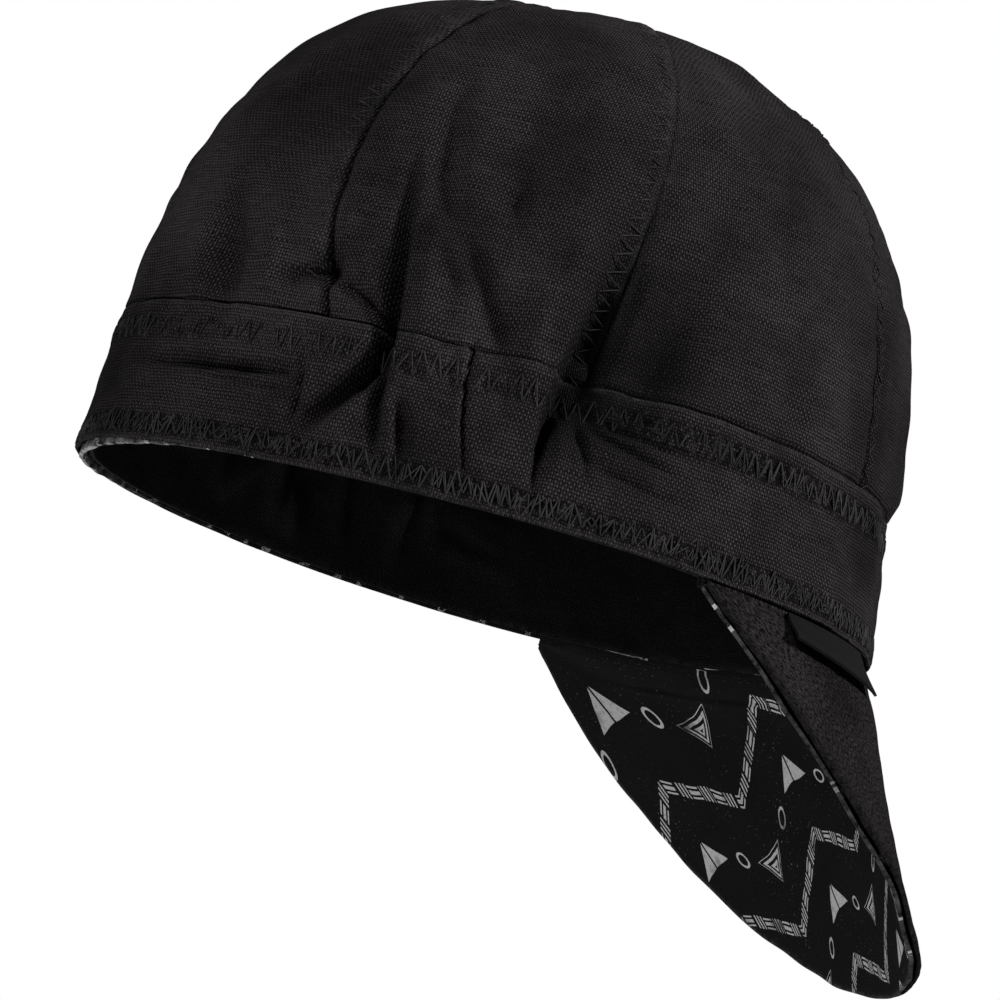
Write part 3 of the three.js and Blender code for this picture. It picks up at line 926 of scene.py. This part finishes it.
def crownPanel(name, start, end):
    pitch = crownLook["finePitch" if start[0] == end[0] else "pitch"]
    rises = evenRises(crownLook["footRise"], pitch)[:, None]
    first, last = [seamAngle(seam, side, rises) for side, seam in (start, end)]
    last = np.where(last < first, last + 360, last)
    widths = (last - first) * degreeLength((first + last) / 2, rises)
    count = int(widths.max() / pitch)
    evenly = np.linspace(0, 1, count + 1)
    shares = (evenly - crownLook["crowding"] * np.sin(2 * np.pi * evenly))[None, :]
    angles = lerp(first, last, shares)
    points = outerPoint(angles, rises)
    across = runLengths(points, 1)
    away = (across, across[:, -1:] - across)
    # a seam's allowance lies on one of its two panels: side 1 is the rear one
    strips = []
    for (side, seam), outward in ((start, 1), (end, -1)):
        behind = outward * side > 0
        strips.append(seams[seam]["strip"] if behind == (seams[seam]["side"] > 0) else 0)
    ends = [seams[seam] for side, seam in (start, end)]
    out = crownOut(angles, rises, away, strips, shares, [seam["upper"] for seam in ends])
    shape = points + outerNormal(angles, rises + 0 * shares) * out[..., None]
    along = runLengths(points[:, count // 2:count // 2 + 1], 0) + 0 * shares
    uv = np.stack([across - across[:, -1:] / 2, along], -1)
    wear = 0.3 * bell(np.minimum(*away), 1.2, 0.8) * smoothstep(rises, 38, 60)
    # painted shade down in the seams' grooves, the more so low on the cap
    low = lerp(0.5, 1, 1 - smoothstep(rises, 62, 100))
    seamPaintedShades = [seam["dark"] * np.exp(-away[i] / 0.7) * low for i, seam in enumerate(ends)]
    crease = np.maximum(paintedCreaseShade(angles, rises), np.maximum(*seamPaintedShades))
    # fading, with painted light and painted shade in patches
    fadingAndPaintedLight = fadingAndPaintedLightFactor(angles, rises)
    piece = name.replace("crown_panel", "crownPanel")
    layCloth(piece, shape, cap["wall"], uv, wear, canvas, "canvas", name, crease, fadingAndPaintedLight)


for name, start, end in panels:
    crownPanel(name, start, end)
print("crown laid")


# Stitches: one short thread, copied along each row

sewing = {"sides": 4, "radius": 0.21, "lift": 0.22, "sink": 0.25}


def stitchTemplate():
    # a grid rolled into a short tube with pointed ends: x and y go round, z goes from end to end
    rings = (0, 0.1, 0.5, 0.9, 1)
    grid = newGrid(sewing["sides"] + 1, len(rings))
    mesh = grid.data
    for vertex in mesh.vertices:
        turn = math.pi * (vertex.co.x + 1)
        along = rings[round((vertex.co.y + 1) / 2 * (len(rings) - 1))]
        radius = 0 if along in (0, 1) else 1
        vertex.co = (radius * math.cos(turn), radius * math.sin(turn), along)
    joinDoubles(1e-5, turnOut=True)
    points = np.array([vertex.co for vertex in mesh.vertices])
    faces = [tuple(face.vertices) for face in mesh.polygons]
    bpy.data.objects.remove(grid)
    return points, faces


templatePoints, templateFaces = stitchTemplate()


def sewStitches(name, starts, ends, outwards, crease, slot, radius=sewing["radius"]):
    # each stitch comes up out of the cloth, runs over it and goes down again
    run = ends - starts
    length = np.linalg.norm(run, axis=1)
    outwards = unit(outwards)
    sideways = unit(np.cross(outwards, run))
    x, y, z = templatePoints.T
    bow = (sewing["lift"] + sewing["sink"]) * np.sin(np.pi * z) ** 0.45 - sewing["sink"]
    places = starts[:, None] + run[:, None] * z[None, :, None]
    places = places + outwards[:, None] * (bow + radius * y)[None, :, None]
    places = places + sideways[:, None] * (radius * x)[None, :, None]
    count = len(templatePoints)
    firsts = range(0, len(starts) * count, count)
    faces = [tuple(corner + first for corner in face) for first in firsts for face in templateFaces]
    mesh = bpy.data.meshes.new(name)
    mesh.from_pydata((places * mm).reshape(-1, 3).tolist(), [], faces)
    turn = np.arctan2(y, x) / (2 * np.pi)
    uv = np.stack(np.broadcast_arrays(turn, z * length[:, None] * mm), -1).reshape(-1, 2)
    setUv(mesh, mesh.uv_layers.new(name="UVMap"), uv)
    setAttribute(mesh, "crease", np.repeat(crease + np.zeros(len(starts)), count))
    mesh.shade_smooth()
    mesh.materials.append(thread)
    piece = bpy.data.objects.new(name, mesh)
    bpy.context.scene.collection.objects.link(piece)
    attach(piece, "root")


def zigzagPoints(length, pitch, low, high, shake, seed):
    # needle points of a zigzag row: distance along it and across it
    draw = np.random.default_rng(seed)
    first, last = pitch
    share = np.linspace(0, 1, int(2 * length / (first + last)))
    slowing = (first - last) / (first + last)
    along = length * share * (1 + slowing - slowing * share)
    across = np.where(np.arange(len(along)) % 2, high, low).astype(float)
    return along + draw.normal(0, shake, len(along)), across + draw.normal(0, shake, len(along))


def zigzagRow(points, normals, paintedThreadShade):
    # the starts, ends, outward ways and painted shade of the stitches between a row's needle points
    return points[:-1], points[1:], normals[:-1] + normals[1:], paintedThreadShade[:-1]


def sewRows(name, rows):
    sewStitches(name, *[np.concatenate(part) for part in zip(*rows)], "canvas")


def seamStitches():
    look, rows = crownLook, []
    for number, (name, side) in enumerate([(name, side) for name in seams for side in (-1, 1)]):
        seam = seams[name]
        fine = evenRises(cap["bandHeight"] - 1, 0.5)
        run = runLengths(outerPoint(seamAngle(name, side, fine), fine), 0)
        row = [look[key] for key in ("stitchPitch", "stitchFrom", "stitchTo", "stitchShake")]
        along, across = zigzagPoints(run[-1] - look["stitchStop"], *row, number)
        rise = np.interp(along, run, fine)
        near = np.minimum(across * seam["reach"], look["stitchSpread"] * (run[-1] - along))
        angle = seamAngle(name, side, rise)
        angle = angle + side * seam["side"] * near / degreeLength(angle, rise)
        # the seam on a panel's other edge is too far away to matter
        away, strips = (near, near + 40), (seam["strip"], 0)
        out = crownOut(angle, rise, away, strips, 0.08, [seam["upper"]] * 2)
        normal = outerNormal(angle, rise)
        points = outerPoint(angle, rise) + normal * out[:, None]
        paintedThreadShade = np.maximum(threadPaintedShade(angle, rise), seam["dim"])
        rows.append(zigzagRow(points, normal, paintedThreadShade))
    sewRows("crownStitches", rows)


seamStitches()

# Band

bandLook = {
    "edgeRound": 0.8,  # radius of its folded edges
    "columns": 801,
    "rows": 48,  # besides those of the edges
    "slack": 0.45,
    "ripples": 0.34,
    "topStitchPitch": 1.9,
    "rimStitchPitch": 1.45,
    "doubledFrom": 88,  # nearer the front than this, the zigzag at the band's top is doubled
}
stitchRows = [  # lowest and highest point, pitch, shake, seed, start, and half the angle it runs
    (26.0, 32.4, bandLook["topStitchPitch"], 0.42, 21, 0, 180),
    (26.5, 31.9, bandLook["topStitchPitch"], 0.5, 22, 1.1, bandLook["doubledFrom"]),
    (1.6, 6.6, bandLook["rimStitchPitch"], 0.75, 23, 0, 180),
    (1.9, 6.2, bandLook["rimStitchPitch"], 0.85, 24, 1.2, 180),
]


def edgeRounding(fromEdge, radius):
    # how far a folded edge turns in
    return radius - np.sqrt(radius ** 2 - np.clip(radius - fromEdge, 0, radius) ** 2)


def bandOut(angle, rise):
    place = outerPoint(angle, rise)
    rounding = edgeRounding(np.minimum(rise, cap["bandHeight"] - rise), bandLook["edgeRound"])
    slack = bandLook["slack"] * (softNoise(place, 26, 11) + 0.3 * softNoise(place, 8, 12))
    # the stitched edges draw the cloth into small ripples
    stitched = bell(rise, 4.3, 3) + bell(rise, 29.7, 4)
    ripples = bandLook["ripples"] * stitched * (softNoise(place, 3.6, 13) - 0.8)
    return slack + ripples - rounding - foldOffset(angle, rise)


def bandPoint(angle, rise):
    return outerPoint(angle, rise) + outerNormal(angle, rise) * bandOut(angle, rise)[..., None]


def layBand():
    edge, height = bandLook["edgeRound"], cap["bandHeight"]
    edgeRows = edge * np.array([0, 0.06, 0.2, 0.45, 0.75])
    middle = np.linspace(edge, height - edge, bandLook["rows"])
    rises = np.concatenate([edgeRows, middle, height - edgeRows[::-1]])
    angles, rises = fullGrid(np.linspace(-180, 180, bandLook["columns"]), rises)
    shape = bandPoint(angles, rises)
    halfway = outerPoint(angles, np.full_like(rises, height / 2))
    uv = np.stack([runLengths(halfway, 1), rises], -1)
    wear = bell(height - rises, 0, 0.9) + 0.5 * bell(rises, 0, 1.2)
    # where the cloth is stitched densely
    rimRow = smoothstep(rises, 0.6, 1.6) - smoothstep(rises, 6.4, 7.6)
    topRow = smoothstep(rises, 25, 26.4) - smoothstep(rises, 32, 33.4)
    doubled = smoothstep(np.cos(np.radians(angles)), -0.05, 0.15)
    stitched = rimRow + topRow * lerp(0.3, 1, doubled)
    # painted shade in the folds, fading with painted light and painted shade in patches, and where
    # the cloth is stitched densely
    shades = paintedCreaseShade(angles, rises), fadingAndPaintedLightFactor(angles, rises), stitched
    layCloth("bandCloth", shape, cap["wall"], uv, wear, canvas, "canvas", "band", *shades)


def rowAround(low, high, pitch, shake, seed, phase, halfAngle):
    # a zigzag row round the cap, between two heights
    fine = np.linspace(-halfAngle, halfAngle, 3600)
    run = runLengths(outerPoint(fine, np.full_like(fine, (low + high) / 2)), 0)
    along, across = zigzagPoints(run[-1] - phase, (pitch, pitch), low, high, shake, seed)
    return np.interp(along + phase, run, fine), across


def bandStitches():
    rows = []
    for row in stitchRows:
        angle, rise = rowAround(*row)
        points, normals = bandPoint(angle, rise), outerNormal(angle, rise)
        rows.append(zigzagRow(points, normals, threadPaintedShade(angle, rise)))
    sewRows("bandStitches", rows)


layBand()
bandStitches()
print("band laid")

# Sweatband and the strip of lining under the rim

liner = {
    "wall": 1.0,
    "sweatWall": 1.2,
    "sweatFrom": 0.8,
    "sweatTo": 32.0,
    "tuck": 6.0,
    "reveal": -0.7,  # how far the strip peeks out at the sides: it stays just inside
    "rearReveal": 2.3,  # and how much more at the back
    "farReveal": 0.5,  # and on the side away from the label
    "revealShake": 0.2,
    "stripColumns": 640,
    "sweatColumns": 441,
    "sweatRows": 30,
    "sweatSlack": 0.12,
    "stackBlend": 10,  # degrees over which the sweatband moves off the bill's layers
    "stackTop": 28,  # and the height at which it is clear of them
    "rearPaintedLight": 1.8,  # painted light: how much lighter the sweatband is at the back
    "stitchDrop": 2.5,  # the sweatband's stitches lie this far below its upper edge
    "stitchPitch": 1.9,
    "stitchLength": 1.35,
    "stitchRadius": 0.22,
}


def underPoint(angle, rise, inset):
    # a layer below the band's outer surface; it follows the soft folds only
    depth = inset + foldOffset(angle, rise, False)
    return outerPoint(angle, rise) - outerNormal(angle, rise) * depth[..., None]


def layLiningStrip(spread):
    around = np.linspace(spread + 0.5, 360 - spread - 0.5, liner["stripColumns"])
    angles, steps = fullGrid(around, np.array([0, 0.12, 0.3, 0.55, 1]))
    place = outerPoint(angles, 0 * steps)
    rear = bell(angles, 180, 27)
    farSide = smoothstep(np.sin(np.radians(angles)), 0.1, 0.7)
    reveal = liner["reveal"] + liner["rearReveal"] * rear + liner["farReveal"] * farSide
    reveal = reveal + liner["revealShake"] * softNoise(place, 7, 31)
    rises = lerp(-reveal, liner["tuck"], steps)
    shape = underPoint(angles, rises, layer)
    uv = np.stack([runLengths(place, 1), rises], -1)
    wear = bell(rises, -reveal, 1.2) * rear
    layCloth("liningStrip", shape, liner["wall"], uv, wear, edgeLining, "lining", "lining_edge")


def sweatInset(angle, rise, spread):
    # how far inside the band's face the sweatband lies: the bill's layers push it in
    frontStack = 2 * layer + liner["wall"]
    restStack = layer + cap["wall"]
    pastBill = smoothstep(np.abs(fromFront(angle)), spread, spread + liner["stackBlend"])
    aboveRoot = smoothstep(rise, liner["tuck"], liner["stackTop"])
    inset = lerp(frontStack, restStack, np.maximum(pastBill, aboveRoot))
    return inset + cap["gap"] + liner["sweatWall"]


def laySweatband(spread):
    # the side that lies against the head is laid first; its wall goes outwards to the band
    rises = np.linspace(liner["sweatTo"], liner["sweatFrom"], liner["sweatRows"])
    angles, rises = fullGrid(np.linspace(-180, 180, liner["sweatColumns"]), rises)
    place = outerPoint(angles, rises)
    inset = sweatInset(angles, rises, spread) + liner["sweatSlack"] * softNoise(place, 9, 41)
    shape = underPoint(angles, rises, inset)
    uv = np.stack([runLengths(place, 1), rises], -1)
    wear = bell(rises, liner["sweatFrom"], 1)
    # painted light: the sweatband is lighter at the back
    fadingAndPaintedLight = 1 + liner["rearPaintedLight"] * rearShare(angles) ** 2
    wall, names = liner["sweatWall"], ("sweatband", "sweatband")
    layCloth("sweatbandCloth", shape, wall, uv, wear, sweatCloth, *names, fadingAndPaintedLight=fadingAndPaintedLight)


def sweatbandStitches(spread):
    # a row of straight stitches near the sweatband's upper edge
    angles = np.arange(-180, 180, liner["stitchPitch"])
    rise = np.full_like(angles, liner["sweatTo"] - liner["stitchDrop"])
    starts, ends = [
        underPoint(angle, rise, sweatInset(angle, rise, spread))
        for angle in (angles, angles + liner["stitchLength"])
    ]
    outwards = -outerNormal(angles, rise)
    sewStitches("sweatbandStitches", starts, ends, outwards, 0, "sweatband", liner["stitchRadius"])


# Bill

bill = {
    "columns": 187,
    "rows": 90,
    "spread": 67.8,
    "length": 81.0,
    "endLength": 1.6,
    "roundness": 2.1,
    "fullness": 0.92,
    "droop": 70.8,
    "endLift": 9.1,
    "twist": 4.0,
    "fan": 0.783,
    "flare": 3.8,
    "blend": 0.25,
    "skew": 0.045,  # the hidden side is this much shorter
    "reveal": -0.25,  # how far the lining peeks out past the canvas
    "revealShake": 0.3,
    "slack": 0.35,
    "edgeRound": 0.9,
    "edgePaintedShade": 0.8,  # painted shade along the turned edge, where the canvas rolls over
    "edgePaintedShadeWidth": 1.9,
    "hem": 0.5,  # how much thicker the turned edge is than the cloth inside it
    "stitchRun": 0.8,  # how far out the lining's stitches lie
    "stitchSpread": 58,
    "stitchPitch": 1.75,
    "stitchLength": 0.6,
    "stitchRadius": 0.16,
}


def ribLength(angle):
    share = np.minimum(np.abs(angle) / bill["spread"], 1)
    reach = (1 - share ** bill["roundness"]) ** bill["fullness"]
    full = lerp(bill["endLength"], bill["length"], reach)
    return full * (1 - bill["skew"] * angle / bill["spread"])


def billPlain(angle, share):
    side = angle / bill["spread"]
    flare = bill["flare"] * (share - 0.5)
    droop = bill["droop"] - bill["endLift"] * side ** 2 + bill["twist"] * side - flare
    droop, fan = np.radians(droop), np.radians(angle * bill["fan"])
    run = ribLength(angle) * share
    root = outerPoint(angle, np.zeros_like(share + angle))
    away = np.stack([np.cos(droop) * np.sin(fan), -np.cos(droop) * np.cos(fan), -np.sin(droop)], -1)
    return root + run[..., None] * away


def billNormal(angle, share):
    step = np.minimum(0.01, np.maximum(share, 1e-4) / 2)
    across = billPlain(angle + 0.2, share) - billPlain(angle - 0.2, share)
    down = billPlain(angle, share + step) - billPlain(angle, share - step)
    return unit(np.cross(across, -down))


def billPoint(angle, row, inset, reveal=0.0):
    # rows above zero run out along the bill, rows below zero go up behind the band
    share = np.maximum(row, 1e-4) * (1 + reveal / ribLength(angle))
    swell = layer * (1 - smoothstep(row, 0, bill["blend"]))
    place = billPlain(angle, share)
    slack = bill["slack"] * softNoise(place, 30, 51) * smoothstep(ribLength(angle) * share, 2, 20)
    free = place + billNormal(angle, share) * (slack - swell - inset)[..., None]
    height = np.maximum(-row, 0) * liner["tuck"]
    behind = underPoint(angle, height, layer + inset)
    return np.where((row <= 0)[..., None], behind, free)


def billGrid(fromEdge):
    rows = np.concatenate([[-1, -0.6, -0.25], np.linspace(0, 1, bill["rows"]) ** 1.15])
    edge = 1 - fromEdge / bill["length"]
    rows = np.unique(np.concatenate([rows[rows < edge.min()], edge]))
    return fullGrid(np.linspace(-bill["spread"], bill["spread"], bill["columns"]), rows)


def billUv(angle, row):
    # the bill laid flat: along its root and out along its ribs
    fan = np.radians(angle * bill["fan"])
    run = ribLength(angle) * row
    root = np.radians(angle) * cap["length"] / 2
    return np.stack([root * 0.86 + run * np.sin(fan), -run * np.cos(fan)], -1)


def layBill():
    angles, rows = billGrid(bill["edgeRound"] * np.array([1, 0.8, 0.5, 0.25, 0.08, 0]))
    angles, rows = angles[::-1], rows[::-1]
    left = ribLength(angles) * (1 - np.maximum(rows, 0))
    rounding = edgeRounding(left, bill["edgeRound"])
    place = billPlain(angles, np.maximum(rows, 0))
    hem = bill["hem"] * bell(left, 3, 2.6) * smoothstep(ribLength(angles), 8, 25)
    fine = 0.1 * softNoise(place, 6, 52)
    shape = billPoint(angles, rows, rounding - hem - fine * smoothstep(rows, 0, 0.05))
    uv, wear = billUv(angles, rows), bell(left, 0, 1) * (rows > 0.5)
    # painted shade along the turned edge of the bill's canvas
    dark = bill["edgePaintedShade"] * bell(left, 0, bill["edgePaintedShadeWidth"]) * (rows > 0)
    layCloth("billCanvas", shape, cap["wall"] - 0.2, uv, wear, billCanvas, "canvas", "bill", dark)


def liningInset(angles, rows):
    # a thin fold runs below the stitches at the root
    length = ribLength(angles)
    run = length * rows
    fold = (0.35 * bell(run, 7.5, 0.7) - 0.25 * bell(run, 6, 0.9)) * smoothstep(length, 20, 40)
    slack = 0.22 * softNoise(billPlain(angles, np.maximum(rows, 0)), 14, 53)
    return layer + liner["wall"] + fold * (rows > 0) + slack * smoothstep(rows, 0, 0.1)


def layBillLining():
    angles, rows = billGrid(np.array([0.0]))
    left = ribLength(angles) * (1 - np.maximum(rows, 0))
    # it peeks out past the canvas in places
    shake = softNoise(billPlain(angles, np.ones_like(rows)), 14, 54)
    reveal = bill["reveal"] + bill["revealShake"] * shake
    shape = billPoint(angles, rows, liningInset(angles, rows), reveal)
    uv, wear = billUv(angles, rows), bell(left, 0, 0.7) * (rows > 0.5)
    layCloth("billLining", shape, liner["wall"], uv, wear, printedLining, "lining", "bill_lining")


def liningStitches():
    # straight stitches hold the lining along its root
    def needlePoints(angles):
        row = bill["stitchRun"] / ribLength(angles)
        return billPoint(angles, row, liningInset(angles, row), bill["reveal"])

    angles = np.arange(-bill["stitchSpread"], bill["stitchSpread"], bill["stitchPitch"])
    starts, ends = needlePoints(angles), needlePoints(angles + bill["stitchLength"])
    outwards = -billNormal(angles, bill["stitchRun"] / ribLength(angles))
    sewStitches("liningStitches", starts, ends, outwards, 0, "lining", bill["stitchRadius"])


layLiningStrip(bill["spread"])
laySweatband(bill["spread"])
sweatbandStitches(bill["spread"])
layBill()
layBillLining()
liningStitches()
print("bill and linings laid")

# Label

label = {
    "columns": 57,
    "rows": 25,
    "from": -52,
    "to": -27.3,
    "height": 11.0,
    "wall": 0.7,
    "standOff": 2.0,
    "curl": 0.8,
    "lean": 2.6,
}


def layLabel():
    angles = np.linspace(label["from"], label["to"], label["columns"])
    angles, rows = fullGrid(angles, np.linspace(1, 0, label["rows"]))
    share = (cap["gap"] + rows * label["height"]) / ribLength(angles)
    swell = layer * (1 - smoothstep(share, 0, bill["blend"]))
    across = (angles - label["from"]) / (label["to"] - label["from"])
    angles = angles - label["lean"] * rows * (1 - across)
    curl = label["curl"] * ((1 - across) ** 2 - 0.6 * across ** 2) * rows
    lift = cap["gap"] + label["wall"] + label["standOff"] * rows ** 1.3 + curl
    shape = billPlain(angles, share) + billNormal(angles, share) * (lift - swell)[..., None]
    uv = np.stack([runLengths(shape, 1), rows * label["height"]], -1)
    layCloth("labelTape", shape, label["wall"], uv, 0, tape, "label", "label_tab")


layLabel()
print("label laid")

# Floor, light and camera

stage = {
    "floorDrop": 0.7,
    "floorSize": 9.0,
    "floorShade": 0.82,
    "background": 1.0,
    "ambient": 0.08,
}


def layFloor():
    bpy.ops.object.select_all(action="DESELECT")
    place = (0, 0, -stage["floorDrop"])
    bpy.ops.mesh.primitive_circle_add(
        vertices=96, radius=stage["floorSize"] / 2, fill_type="NGON", location=place)
    floor = bpy.context.object
    floor.name = "floor"
    made, tree, shader, uv, place = startMaterial("paleFloor", {"roughness": 0.7, "specular": 0.3})
    mottled = noiseValue(tree, place, 6.0, 4.0)
    shade = blendColours(tree, mottled, grey(stage["floorShade"] * 0.97), grey(stage["floorShade"]))
    tree.links.new(shade, shader.inputs["Base Color"])
    floor.data.materials.append(made)


def setWorld():
    # the backdrop is plain white to the eye and gives a softer light than that
    world = bpy.data.worlds.new("studio")
    bpy.context.scene.world = world
    world.use_nodes = True
    tree = world.node_tree
    background = tree.nodes["Background"]
    seen = tree.nodes.new("ShaderNodeLightPath").outputs["Is Camera Ray"]
    strength = rescaled(tree, seen, 0.0, 1.0, stage["ambient"], stage["background"])
    background.inputs["Color"].default_value = (1, 1, 1, 1)
    tree.links.new(strength, background.inputs["Strength"])


lamps = {  # where each soft light stands in metres, its size, its power and the angle of its beam
    "keyLight": ((-1.3, -1.85, 0.9), 0.45, 6.8, 70),
    "topLight": ((-0.9, 1.25, 1.7), 0.6, 2.8, 70),
    "lowLight": ((-0.35, 0.5, -0.6), 0.3, 0.5, 90),
}


def lightScene():
    # every light looks at the cap's origin
    for name, (place, size, power, beam) in lamps.items():
        data = bpy.data.lights.new(name, "AREA")
        data.shape = "DISK"
        data.size = size
        data.energy = power
        data.spread = math.radians(beam)
        light = bpy.data.objects.new(name, data)
        light.location = place
        light.visible_camera = False
        light.rotation_euler = Vector(place).to_track_quat("Z", "Y").to_euler()
        bpy.context.scene.collection.objects.link(light)


view = {  # where the camera stands, and the shift of its middle from the cap's origin
    "turn": -101.104,
    "rise": -10.342,
    "roll": 14.977,
    "distance": 1101.959,
    "aside": 6.532,
    "above": 15.801,
    "focalPixels": 4414.941,
    "imagePixels": 1000,
}


def setCamera():
    turn, rise, roll = [math.radians(view[name]) for name in ("turn", "rise", "roll")]
    level = math.cos(rise)
    back = np.array([math.sin(turn) * level, -math.cos(turn) * level, math.sin(rise)])
    right = unit(np.cross([0, 0, 1], back))
    up = np.cross(back, right)
    cameraRight = math.cos(roll) * right + math.sin(roll) * up
    cameraUp = math.cos(roll) * up - math.sin(roll) * right
    place = (view["distance"] * back + view["aside"] * cameraRight + view["above"] * cameraUp) * mm
    data = bpy.data.cameras.new("camera")
    data.sensor_width = 36
    data.lens = view["focalPixels"] * data.sensor_width / view["imagePixels"]
    data.clip_start = 0.05
    camera = bpy.data.objects.new("camera", data)
    axes = np.eye(4)
    axes[:3] = np.stack([cameraRight, cameraUp, back, place], -1)
    camera.matrix_world = Matrix(axes.tolist())
    bpy.context.scene.collection.objects.link(camera)
    bpy.context.scene.camera = camera


layFloor()
setWorld()
lightScene()
setCamera()
bpy.context.scene.view_settings.view_transform = "Standard"
print("stage, lights and camera set")
